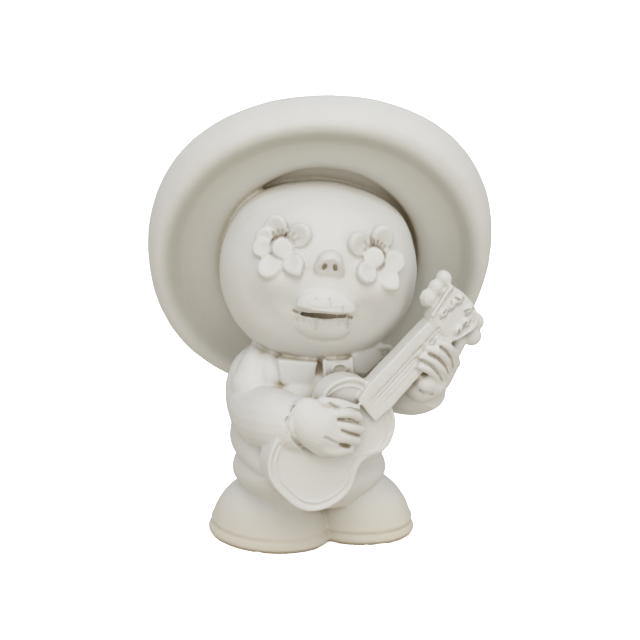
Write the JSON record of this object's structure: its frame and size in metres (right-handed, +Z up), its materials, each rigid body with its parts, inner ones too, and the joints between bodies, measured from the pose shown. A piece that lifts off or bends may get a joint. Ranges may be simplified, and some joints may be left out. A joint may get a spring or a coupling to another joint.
{
  "type": "skeleton mariachi figurine",
  "caption": "Unpainted cast ceramic skeleton musician in a huge upturned hat, with flower eyes and flared trousers, playing a small guitar; stands by its own weight.",
  "frame": {"origin": "middle of the footprint of the two trouser legs, on the standing plane", "axes": "+Z up, the figure faces -Y, +X to the viewer's right and to the figure's left"},
  "size_m": [0.1198, 0.0898, 0.1559],
  "materials": {
    "bisque": "unglazed, matt off-white with a fine grain and faint sponge marks"
  },
  "bodies": {
    "root": {"mariachi_figurine": "bisque"}
  },
  "joints": []
}
